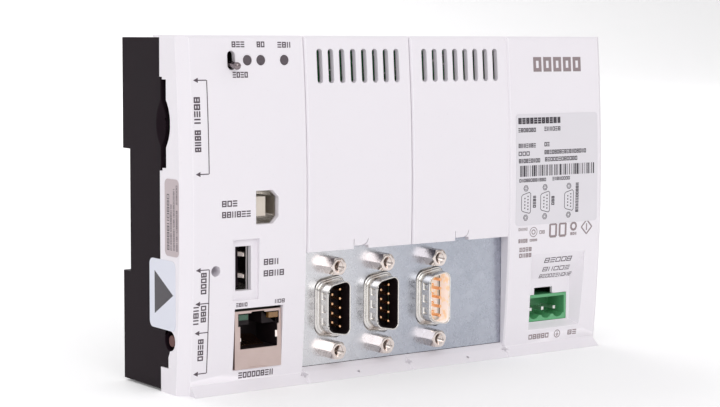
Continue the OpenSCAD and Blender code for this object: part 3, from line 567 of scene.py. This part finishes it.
WIDE, LONG, RIM_TO_FLANGE = 8.36, 16.9, 6.3
NARROW_SIDE = 1 - 2 * WIDE * math.tan(math.radians(10)) / LONG   # both ends lean in by ten degrees
COLLAR_START = 1.85   # how far in front of the flange the collar begins
shell = start("cube", size=1, scale=(WIDE, RIM_TO_FLANGE, LONG), location=(0, RIM_TO_FLANGE / 2, 0))
pick(shell, "VERT", lambda p: p.x < 0)
bpy.ops.transform.resize(value=(1, 1, NARROW_SIDE), center_override=(0, 0, 0))
done(shell)
pick(shell, "EDGE", lambda a, b: abs(a.y - b.y) > 1)
bpy.ops.mesh.bevel(offset=2.5, segments=9, affect="EDGES")
done(shell)
pick(shell, "FACE", lambda c, n: abs(n.y) > 0.9)
bpy.ops.mesh.delete(type="FACE")
done(shell)
pick(shell, "VERT", lambda p: True)
for height in (-4.9, -2.7, -1.1, 1.1, 2.7, 4.9):
    bpy.ops.mesh.select_all(action="SELECT")
    bpy.ops.mesh.bisect(plane_co=(0, 0, height), plane_no=(0, 0, 1))
for depth in (0.9, 3.2, 4.2):
    bpy.ops.mesh.select_all(action="SELECT")
    bpy.ops.mesh.bisect(plane_co=(0, depth, 0), plane_no=(0, 1, 0))
done(shell)
pick(shell, "FACE", lambda c, n: c.x < -4.1 and 0.9 < c.y < 3.2
     and any(abs(c.z - middle) < 1 for middle in (-3.8, 0, 3.8)))
for thickness, push in ((0.16, 0.40), (0.14, 0.12)):
    bpy.ops.mesh.inset(thickness=thickness, use_individual=True)
    bpy.ops.transform.translate(value=(push, 0, 0))
done(shell)
print("tube with dimples:", len(shell.data.polygons), "faces")

# %% [markdown]
# The collar follows: the open rear edge goes outwards along a quarter circle, straight back, and outwards
# again into the flange behind the plate.

# %% Collar, flange and sheet thickness of the shell
pick(shell, "EDGE", lambda a, b: a.y > RIM_TO_FLANGE - 0.01 and b.y > RIM_TO_FLANGE - 0.01)
bpy.ops.transform.translate(value=(0, -COLLAR_START, 0))
reach, back = 0.0, 0.0
profile = [(0.10, 0.02), (0.30, 0.10), (0.46, 0.24), (0.54, 0.40), (0.84, 0.44), (1.04, 0.60), (1.10, 0.85),
           (1.10, 1.72), (2.6, COLLAR_START)]
for outwards, backwards in profile:
    bpy.ops.mesh.extrude_region_move(TRANSFORM_OT_translate={"value": (0, backwards - back, 0)})
    bpy.ops.transform.resize(value=((WIDE / 2 + outwards) / (WIDE / 2 + reach), 1,
                                    (LONG / 2 + outwards) / (LONG / 2 + reach)), center_override=(0, 0, 0))
    reach, back = outwards, backwards
done(shell)
apply_modifier(shell, "SOLIDIFY", thickness=0.4, offset=-1)
soften(shell, 0, smooth=50)
pick(shell, "EDGE", lambda a, b: a.y < 0.01 and b.y < 0.01)
bpy.ops.mesh.bevel(offset=0.14, segments=2, affect="EDGES")
done(shell)
bpy.ops.object.shade_smooth_by_angle(angle=math.radians(50))
# A thin sheet lines the inside of each shell and makes its inner walls dark: black in the first two ports,
# and in the third the pale insert's finish with its painted glow.
lining = start("cube", size=1, scale=(WIDE - 1.5, 4.3, LONG - 0.84), location=(0.33, 2.15, 0))
pick(lining, "VERT", lambda p: p.x < 0)
bpy.ops.transform.resize(value=(1, 1, NARROW_SIDE), center_override=(0, 0, 0))
done(lining)
pick(lining, "EDGE", lambda a, b: abs(a.y - b.y) > 1)
bpy.ops.mesh.bevel(offset=2.2, segments=9, affect="EDGES")
done(lining)
pick(lining, "FACE", lambda c, n: abs(n.y) > 0.9)
bpy.ops.mesh.delete(type="FACE")
done(lining)
apply_modifier(lining, "SOLIDIFY", thickness=0.1, offset=-1)
soften(lining, 0, smooth=50)
serial_places = [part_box(f"serial_shield_{n}") for n in (1, 2, 3)]
serial_x = [((low.x + high.x) / 2 - FACE_LEFT) / MM for low, high in serial_places]
serial_z = (serial_places[0][0].z + serial_places[0][1].z) / 2 / MM
rim_y = (serial_places[0][0].y - FACE_FRONT) / MM
for n, x in enumerate(serial_x, 1):
    twin = to_place(copy_of(shell, (0, 0, 0)), x, rim_y, serial_z)
    dress(twin, f"serial_shell_{n}", plated_shell, replaces=[f"serial_shield_{n}"])
    tube = to_place(copy_of(lining, (0, 0, 0)), x, rim_y + 0.4, serial_z)
    dress(tube, f"serial_lining_{n}", amber_moulding if n == 3 else black_moulding)
for master in (shell, lining):
    bpy.data.objects.remove(master)
print("serial ports at", [round(x, 2) for x in serial_x], "height", round(serial_z, 2))

# %% [markdown]
# ## Jack posts
# Beside each port stand two hexagonal posts that take the plug's screws. A turned chamfer cuts the corners of
# the hexagon to a circle at the front, and a 4-40 thread runs into the bore. The chamfer is what is left of
# a hexagon inside a cylinder with a bevelled end, so a Boolean modifier intersects the two. The bore's tool
# is a circle, extruded inwards in steps that swell and shrink, which cuts the thread as rings.

# %% Jack post
AF, POST, THREAD_STEP, POST_SPACING = 4.9, 5.2, 0.32, 25
post = start("cylinder", vertices=6, radius=AF / 2 / math.cos(math.radians(30)), depth=POST,
             location=(0, POST / 2, 0), rotation=(math.radians(90), 0, 0))
post.data.transform(Matrix.Rotation(math.radians(30), 4, "Y"))
turning = start("cylinder", vertices=48, radius=AF / 2 / math.cos(math.radians(30)) + 0.02, depth=POST + 2,
                location=(0, POST / 2 + 1, 0), rotation=(math.radians(90), 0, 0))
pick(turning, "EDGE", lambda a, b: a.y < 0.01 and b.y < 0.01)
bpy.ops.mesh.bevel(offset=0.62, segments=3, profile=0.5, affect="EDGES")
done(turning)
bore = start("circle", vertices=32, radius=1.86, fill_type="NGON", rotation=(math.radians(90), 0, 0),
             location=(0, -0.05, 0))
pick(bore, "FACE", lambda c, n: True)
radius, steps = 1.86, [(1.52, 0.36)] + [(1.34 if i % 2 else 1.50, THREAD_STEP / 2) for i in range(24)]
for wanted, deeper in steps:
    bpy.ops.mesh.extrude_region_move(TRANSFORM_OT_translate={"value": (0, deeper, 0)})
    bpy.ops.transform.resize(value=(wanted / radius, 1, wanted / radius), center_override=(0, 0, 0))
    radius = wanted
bpy.ops.mesh.select_all(action="SELECT")
bpy.ops.mesh.normals_make_consistent(inside=False)
done(bore)
apply_modifier(post, "BOOLEAN", operation="INTERSECT", object=turning, solver="EXACT")
apply_modifier(post, "BOOLEAN", operation="DIFFERENCE", object=bore, solver="EXACT")
for tool in (turning, bore):
    bpy.data.objects.remove(tool)
only(post)
bpy.ops.object.shade_smooth_by_angle(angle=math.radians(28))
posts = [to_place(copy_of(post, (0, 0, 0)), x, -1, serial_z + side * POST_SPACING / 2)
         for x in serial_x for side in (-1, 1)]
bpy.data.objects.remove(post)
dress(join("jack_posts_turned", posts), "jack_posts_turned", jack_steel,
      replaces=["jack_posts"])
print("jack posts made:", len(posts))

# %% [markdown]
# ## Network jack and USB port
# The jack's shield is folded from one warm-toned nickel sheet. A spring bows out of the left wall of its
# mouth, a small tab shows at the right edge, and a thin bar marks the fold at the bottom. Inside the USB port
# two springs press on the plug. Each spring is one strip whose end edge is extruded along a bow. Their metal
# glows a little: painted light in place of the soft light from outside that hardly reaches into the mouths.

# %% Network jack: shield, springs and fold
softened("network_shield", 0.15, warm_shell)
shield_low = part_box("network_shield")[0]
jack_front = (shield_low.y - FACE_FRONT) / MM
jack_bottom = shield_low.z / MM


def leaf(length, width, bend, place, turned):
    """A contact spring: a strip that leaves its wall, bows out and dips back, turned round the y axis."""
    strip = start("plane", size=1, scale=(width, 0.5, 1), location=(0, 0.25, 0))
    pick(strip, "EDGE", lambda a, b: a.y > 0.49 and b.y > 0.49)
    for i in range(1, 7):
        rise = bend * (math.sin(math.pi * i / 6.5) - math.sin(math.pi * (i - 1) / 6.5))
        bpy.ops.mesh.extrude_region_move(TRANSFORM_OT_translate={"value": (0, length / 6, rise)})
    done(strip)
    apply_modifier(strip, "SOLIDIFY", thickness=0.18, offset=0)
    strip.data.transform(Matrix.Rotation(math.radians(turned), 4, "Y"))
    return soften(to_place(strip, *place), 0.04, smooth=45)


def chip(width, depth, height, place, turned=0.0):
    """A small rounded plate whose front is a little domed."""
    plate = start("cube", size=1, scale=(width, depth, height))
    pick(plate, "FACE", lambda c, n: n.y < -0.9)
    bpy.ops.mesh.inset(thickness=min(width, height) * 0.22)
    bpy.ops.transform.translate(value=(0, -0.05, 0))
    done(plate)
    plate.data.transform(Matrix.Rotation(math.radians(turned), 4, "Z"))
    return soften(to_place(plate, *place), 0.03)


springs = [leaf(3.4, 2.2, 0.55, (16.28, jack_front + 0.25, 14.6), 90),
           chip(0.62, 0.2, 1.9, (28.36, jack_front + 0.12, 15.4), -14)]
dress(join("network_springs", springs), "network_springs", worn_spring)
dress(chip(5.9, 0.12, 0.42, (22.0, jack_front - 0.03, jack_bottom + 0.36)), "network_fold", warm_shell)

# %% USB port springs
port_low, port_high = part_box("host_port_shell")
wall_x, mouth_y = (port_high.x - FACE_LEFT) / MM - 0.35, (port_low.y - FACE_FRONT) / MM
grips = [leaf(2.6, 1.3, 0.75, (wall_x - 0.1, mouth_y + 1.5, z), -90) for z in (38.55, 32.35)]
dress(join("host_springs", grips), "host_springs", worn_spring)
print("springs in place, port wall at", round(wall_x, 2), "mouth at", round(mouth_y, 2))

# %% [markdown]
# ## Small changes of finish
# Some imported parts differ from others of their kind. The third port has a pale, translucent insert, with a
# warm glow between its gold pins that is painted light. The lever of the run switch is chrome with a dark
# base colour, a painted dark reflection; the supply pins are tinned and the tongue of the USB port is a matt
# black.

# %% Other finishes for some parts
softened("run_switch_lever", 0.12, lever_chrome)
for node, finish in (("serial_insert_3", amber_moulding), ("supply_pins", tin_plate),
                     ("host_port_tongue", black_housing)):
    for place in range(len(frame["nodes"][node].data.materials)):
        frame["nodes"][node].data.materials[place] = finish
print("finishes changed")

# %% [markdown]
# ## Printed marks
# The face is pad printed: legends beside every control, two brackets on the left and a rating label on the
# right. The marks here are neutral. A legend is a row of small blocks that spell nothing, at the size and
# place a legend has. Each mark is made of straight strokes, drawn flat in millimetres. A drawing is then laid
# on its surface and given the thickness of an ink film, so it follows the bow of the face.

# %% One stroke of ink, and drawings made of strokes
only(camera)
bpy.ops.mesh.primitive_plane_add(size=1, rotation=(math.radians(90), 0, 0))
stroke_master = settle(bpy.context.active_object)
INK = 0.02


class Drawing:
    """Strokes of ink in a flat drawing, in millimetres, which lay() puts on a surface of the unit."""

    def __init__(self, seed=1):
        self.strokes, self.dice = [], random.Random(seed)

    def stroke(self, start, end, thick):
        (x0, z0), (x1, z1) = start, end
        length, angle = math.hypot(x1 - x0, z1 - z0), math.atan2(z1 - z0, x1 - x0)
        steps = max(1, round(length / 4))
        for i in range(steps):
            share = (i + 0.5) / steps
            self.strokes.append(Matrix.Translation((x0 + (x1 - x0) * share, 0, z0 + (z1 - z0) * share))
                                @ Matrix.Rotation(-angle, 4, "Y")
                                @ Matrix.Diagonal((length / steps, 1, thick, 1)))

    def line(self, places, thick, closed=False):
        for start, end in zip(places, places[1:] + places[:1] if closed else places[1:]):
            self.stroke(start, end, thick)

    def ring(self, x, z, radius, thick, sides=20):
        self.line([(x + radius * math.cos(math.tau * i / sides), z + radius * math.sin(math.tau * i / sides))
                   for i in range(sides)], thick, closed=True)

    def block(self, x, z, width, height, thick, kind, upright):
        """One neutral block of a legend, from its lower left corner; upright legends run up the face."""
        half = thick / 2
        posts = {0: (0, 1), 1: (0.5,), 2: (0, 1), 3: (), 4: (0.1, 0.9)}[kind]
        bars = {0: (0, 1), 1: (), 2: (0, 0.5, 1), 3: (0, 0.5, 1), 4: ()}[kind]
        turned = (lambda u, v: (x - v, z + u)) if upright else (lambda u, v: (x + u, z + v))
        for p in posts:
            u = half + p * (width - thick)
            self.stroke(turned(u, 0), turned(u, height), thick)
        for b in bars:
            v = half + b * (height - thick)
            inner = thick if posts else 0
            self.stroke(turned(inner, v), turned(width - inner, v), thick)

    def legend(self, x, z, length, height, count, bold=0.17, upright=False):
        """A row of blocks that fills a length, its middle line at height z (or at x for an upright one)."""
        pitch = length / count
        for i in range(count):
            kind = self.dice.choice((0, 2, 0, 2, 3, 4))
            if upright:
                self.block(x + height / 2, z + i * pitch, pitch * 0.84, height, height * bold, kind, True)
            else:
                self.block(x + i * pitch, z - height / 2, pitch * 0.84, height, height * bold, kind, False)

    def lay(self, name, surface, material):
        """Copies the master stroke for every stroke, joins them and bends the sheet onto the surface."""
        pieces = []
        for place in self.strokes:
            piece = bpy.data.objects.new(name, stroke_master.data.copy())
            piece.data.transform(place)
            bpy.context.scene.collection.objects.link(piece)
            pieces.append(piece)
        sheet = join(name, pieces)
        for point in sheet.data.vertices:
            point.co = surface(point.co.x, point.co.z)
        apply_modifier(sheet, "SOLIDIFY", thickness=INK * MM, offset=1)
        dress(sheet, name, material)
        print(name, len(self.strokes), "strokes")
        return sheet


def on_face(x, z):
    return at(x, bow(z) - 0.004, z)


def on_label(x, z):
    return at(x, bow(z) - 0.124, z)


# %% [markdown]
# The legends of the controls on the left of the face come first, then the two brackets whose arrows point
# round the corner at the card slot and the small controls on the side.

# %% Legends and brackets on the face
legends = Drawing(3)
for x, z, length, height, count in (
        (13.8, 98.4, 4.4, 1.65, 3), (22.1, 98.4, 2.8, 1.65, 2), (29.1, 98.3, 4.7, 1.65, 3),
        (13.7, 89.9, 5.2, 1.65, 4), (9.2, 53.9, 5.3, 1.75, 3), (9.2, 50.8, 9.7, 1.75, 6),
        (23.2, 36.6, 5.3, 1.75, 3), (23.2, 33.3, 7.2, 1.75, 4), (14.2, 24.85, 3.9, 1.15, 4),
        (27.2, 24.95, 3.6, 1.15, 3), (15.8, 4.3, 12, 1.75, 8)):
    legends.legend(x, z, length, height, count, 0.21)
legends.legend(1.75, 68.7, 6.3, 2.0, 4, 0.22, True)
legends.legend(1.75, 76.4, 7.8, 2.0, 4, 0.22, True)
legends.legend(3.4, 28.9, 6.3, 1.8, 4, 0.22, True)
legends.legend(3.5, 20.9, 5.0, 1.7, 3, 0.22, True)
legends.legend(1.1, 20.3, 5.6, 1.7, 3, 0.22, True)
legends.legend(2.9, 9.9, 6.5, 1.8, 4, 0.22, True)
for low, high, arrows in ((62.5, 88.5, (62.5, 88.5)), (6.2, 35.7, (6.2, 17.9, 26.2, 35.7))):
    legends.stroke((5.15, low), (5.15, high), 0.28)
    for z in arrows:
        legends.stroke((5.04, z), (2.2, z), 0.28)
        for i in range(10):
            half = 0.66 - 0.064 * i
            legends.stroke((2.25 - 0.14 * i, z - half), (2.25 - 0.14 * i, z + half), 0.15)
legends.lay("face_legends", on_face, dark_ink)

# %% [markdown]
# The rating label is a film with lines of data, a bar code and three small drawings of the serial ports,
# each with its two screws and its nine pins. Below it stands a row of plain marks in grey-brown ink.

# %% Rating label
rating = Drawing(11)
rating.legend(118.2, 74.5, 18, 1.95, 11, 0.30)
for x, z, length, height, count in (
        (118.2, 71.6, 7.4, 1.35, 7), (129.0, 71.8, 7.0, 1.35, 6), (118.2, 66.7, 7.3, 1.35, 7),
        (129.0, 66.9, 2.3, 1.35, 2),
        (118.2, 64.2, 4.8, 1.35, 3), (129.0, 64.4, 18, 1.35, 17), (118.3, 61.9, 9.0, 1.35, 9),
        (129.2, 62.1, 14, 1.35, 12),
        (118.5, 55.7, 11.3, 1.1, 12), (132.4, 55.8, 7.6, 1.1, 8)):
    rating.legend(x, z, length, height, count, 0.21)
x = 118.8
while x < 150.6:
    width = rating.dice.choice((0.18, 0.18, 0.32, 0.32, 0.5, 0.72))
    rating.stroke((x + width / 2, 56.9), (x + width / 2, 60.4), width)
    x += width + rating.dice.choice((0.18, 0.22, 0.3, 0.5, 0.62))
for left in (119.5, 127.5, 137.7):
    rating.line([(left + 0.5, 51.2), (left + 3.3, 51.9), (left + 3.8, 51.4), (left + 3.8, 45.7),
                 (left + 3.3, 45.2), (left + 0.5, 45.9), (left, 46.4), (left, 50.7)], 0.2, closed=True)
    for column, first, count in ((1.15, 50.0, 4), (2.45, 50.6, 5)):
        for i in range(count):
            z = first - i * 1.02
            rating.stroke((left + column, z), (left + column + 0.45, z), 0.42)
    for z in (53.2, 43.9):
        rating.ring(left + 1.8, z, 0.95, 0.2, 6)
        rating.ring(left + 1.8, z, 0.5, 0.16, 10)
rating.legend(124.9, 46.9, 4.0, 1.25, 4, 0.24, True)
rating.legend(132.7, 47.4, 3.0, 1.25, 3, 0.24, True)
rating.legend(143.1, 44.6, 9.7, 1.25, 10, 0.24, True)
rating.lay("rating_print", on_label, black_ink)

# %% Plain marks under the label
marks = Drawing(5)
marks.ring(124.9, 39.1, 1.5, 0.22, 20)
marks.ring(124.9, 39.1, 0.7, 0.3, 12)
for left in (131.9, 136.0):
    marks.line([(left, 37.2), (left + 2.6, 37.2), (left + 2.6, 41.2), (left, 41.2)], 0.75, closed=True)
marks.ring(142.0, 40.0, 1.15, 0.7, 18)
marks.legend(140.7, 37.6, 2.8, 0.9, 3, 0.3)
marks.line([(145.4, 39.5), (147.7, 41.8), (150.0, 39.5), (147.7, 37.2)], 0.45, closed=True)
marks.stroke((147.7, 38.4), (147.7, 40.6), 0.4)
for x, z, length, height, count, bold in (
        (118.6, 40.2, 3.9, 0.9, 5, 0.2), (127.4, 38.9, 2.4, 1.1, 2, 0.2), (118.7, 36.5, 3.9, 1.25, 4, 0.24),
        (123.4, 36.5, 3.2, 0.8, 5, 0.2), (119.2, 33.7, 5.3, 1.35, 4, 0.26), (119.2, 31.8, 5.3, 1.35, 4, 0.26),
        (125.1, 4.95, 8.8, 1.6, 5, 0.22), (141.9, 5.05, 4.1, 1.6, 2, 0.22)):
    marks.legend(x, z, length, height, count, bold)
marks.ring(137.3, 5.05, 1.2, 0.26, 18)
marks.stroke((137.3, 5.0), (137.3, 5.9), 0.24)
for half, z in ((0.62, 4.95), (0.4, 4.62), (0.18, 4.3)):
    marks.stroke((137.3 - half, z), (137.3 + half, z), 0.22)
for left in (125.2, 129.4, 133.6, 137.8, 142.0):
    marks.block(left, 89.9, 3.4, 4.6, 1.15, 0, False)
marks.lay("face_marks", on_face, brown_ink)


# %% [markdown]
# The supply socket lies in a pocket. Its legend is printed on the sloping roof of the pocket, so that
# drawing is laid on a slanted plane: the roof falls from the face down to the socket.

# %% Legend on the pocket's slope
def on_slope(x, z):
    return at(x, 5 - (z - 22.9) * (4.7 / 9.1) - 0.012, z)


slope_print = Drawing(9)
slope_print.legend(131.2, 29.4, 11.9, 1.7, 5, 0.17)
slope_print.legend(131.8, 26.3, 11.9, 1.5, 5, 0.17)
slope_print.legend(131.4, 23.9, 14.0, 1.3, 10, 0.17)
slope_print.lay("supply_print", on_slope, dark_ink)


# %% Print on the labels of the left side
def on_side(y, z):
    return at(-3.124, y, z)


side_print = Drawing(21)
for y, low, length, count in ((3.9, 41, 11.5, 11), (3.9, 54, 5.5, 6), (5.5, 41, 17.5, 18), (7.1, 41, 13, 14),
                              (8.7, 41, 16, 9)):
    side_print.legend(y, low, length, 0.85 if y < 8 else 1.3, count, 0.2, True)
side_print.lay("licence_print", on_side, black_ink)
side_mark = Drawing(2)
for i in range(28):
    share = (i + 0.5) / 28
    y = 6.1 + 10.5 * share
    half = 6.2 * share
    side_mark.stroke((y, 28.3 - half), (y, 28.3 + half), 10.5 / 28 * 1.02)
side_mark.lay("service_print", on_side, black_ink)
bpy.data.objects.remove(stroke_master)
# %% [markdown]
# ## Floor and light
# The unit stands on a pale sweep: a plane whose far edge is pulled up and whose fold is rounded, so that no
# horizon shows. Light is soft: one large panel at the front left, weak ones from the right and from the left
# side to open the shadows, a wide one that brightens the sweep behind, and a world that is bright above. The
# metal parts get their contrast from the dark gaps between the panels.

# %% Floor
only(camera)
bpy.ops.mesh.primitive_plane_add(size=8)
floor = bpy.context.active_object
pick(floor, "EDGE", lambda a, b: a.y > 3.9 and b.y > 3.9)
bpy.ops.mesh.extrude_region_move(TRANSFORM_OT_translate={"value": (0, 0, 5)})
done(floor)
pick(floor, "EDGE", lambda a, b: a.y > 3.9 and b.y > 3.9 and a.z < 0.1 and b.z < 0.1)
bpy.ops.mesh.bevel(offset=1.6, segments=16, affect="EDGES")
done(floor)
bpy.ops.object.shade_smooth_by_angle(angle=math.radians(60))
floor.name = "floor"
paper = Finish("paper_floor", Emission_Color=(1, 1, 1, 1), Emission_Strength=0.12)
fibre = paper.noise(2.5, 4, 0.6)
paper.set("Base Color", paper.mix(fibre, (0.90, 0.90, 0.905), (0.93, 0.93, 0.93)))
paper.set("Roughness", fibre * 0.1 + 0.75)
floor.data.materials.append(paper.material)
print("floor ready")


# %% Lights
def panel(name, place, aim, width, height, power, colour=(1, 1, 1)):
    """A soft rectangular light at a place, aimed at a point."""
    data = bpy.data.lights.new(name, "AREA")
    data.shape, data.size, data.size_y = "RECTANGLE", width, height
    data.energy, data.color = power, colour
    light = bpy.data.objects.new(name, data)
    light.rotation_euler = (Vector(aim) - Vector(place)).to_track_quat("-Z", "Y").to_euler()
    light.location = place
    bpy.context.scene.collection.objects.link(light)


middle = (0, 0, 0.05)
panel("key_light", (-0.5, -1.3, 0.8), middle, 1.0, 0.9, 5.9)
panel("fill_light", (1.0, -0.8, 0.5), middle, 0.5, 0.9, 0.35)
panel("side_light", (-1.2, -0.3, 0.45), middle, 0.4, 0.9, 0.4)
panel("back_light", (0.2, 2.2, 2.0), (0, 2.5, 0), 2.5, 1.2, 40)

# The room: bright above, dimmer towards the horizon, so that metal has something dark to reflect
world = bpy.data.worlds.new("studio")
world.use_nodes = True
room = world.node_tree
view_way = room.nodes.new("ShaderNodeTexCoord")
split = room.nodes.new("ShaderNodeSeparateXYZ")
height = room.nodes.new("ShaderNodeMapRange")
height.interpolation_type = "SMOOTHSTEP"
height.inputs["From Min"].default_value, height.inputs["From Max"].default_value = 0.0, 0.55
height.inputs["To Min"].default_value, height.inputs["To Max"].default_value = 0.30, 0.80
room.links.new(view_way.outputs["Generated"], split.inputs[0])
room.links.new(split.outputs["Z"], height.inputs["Value"])
room.links.new(height.outputs[0], room.nodes["Background"].inputs["Strength"])
room.nodes["Background"].inputs["Color"].default_value = (1.0, 0.99, 1.0, 1)
bpy.context.scene.world = world
bpy.context.scene.view_settings.view_transform = "Standard"
print("lights ready")
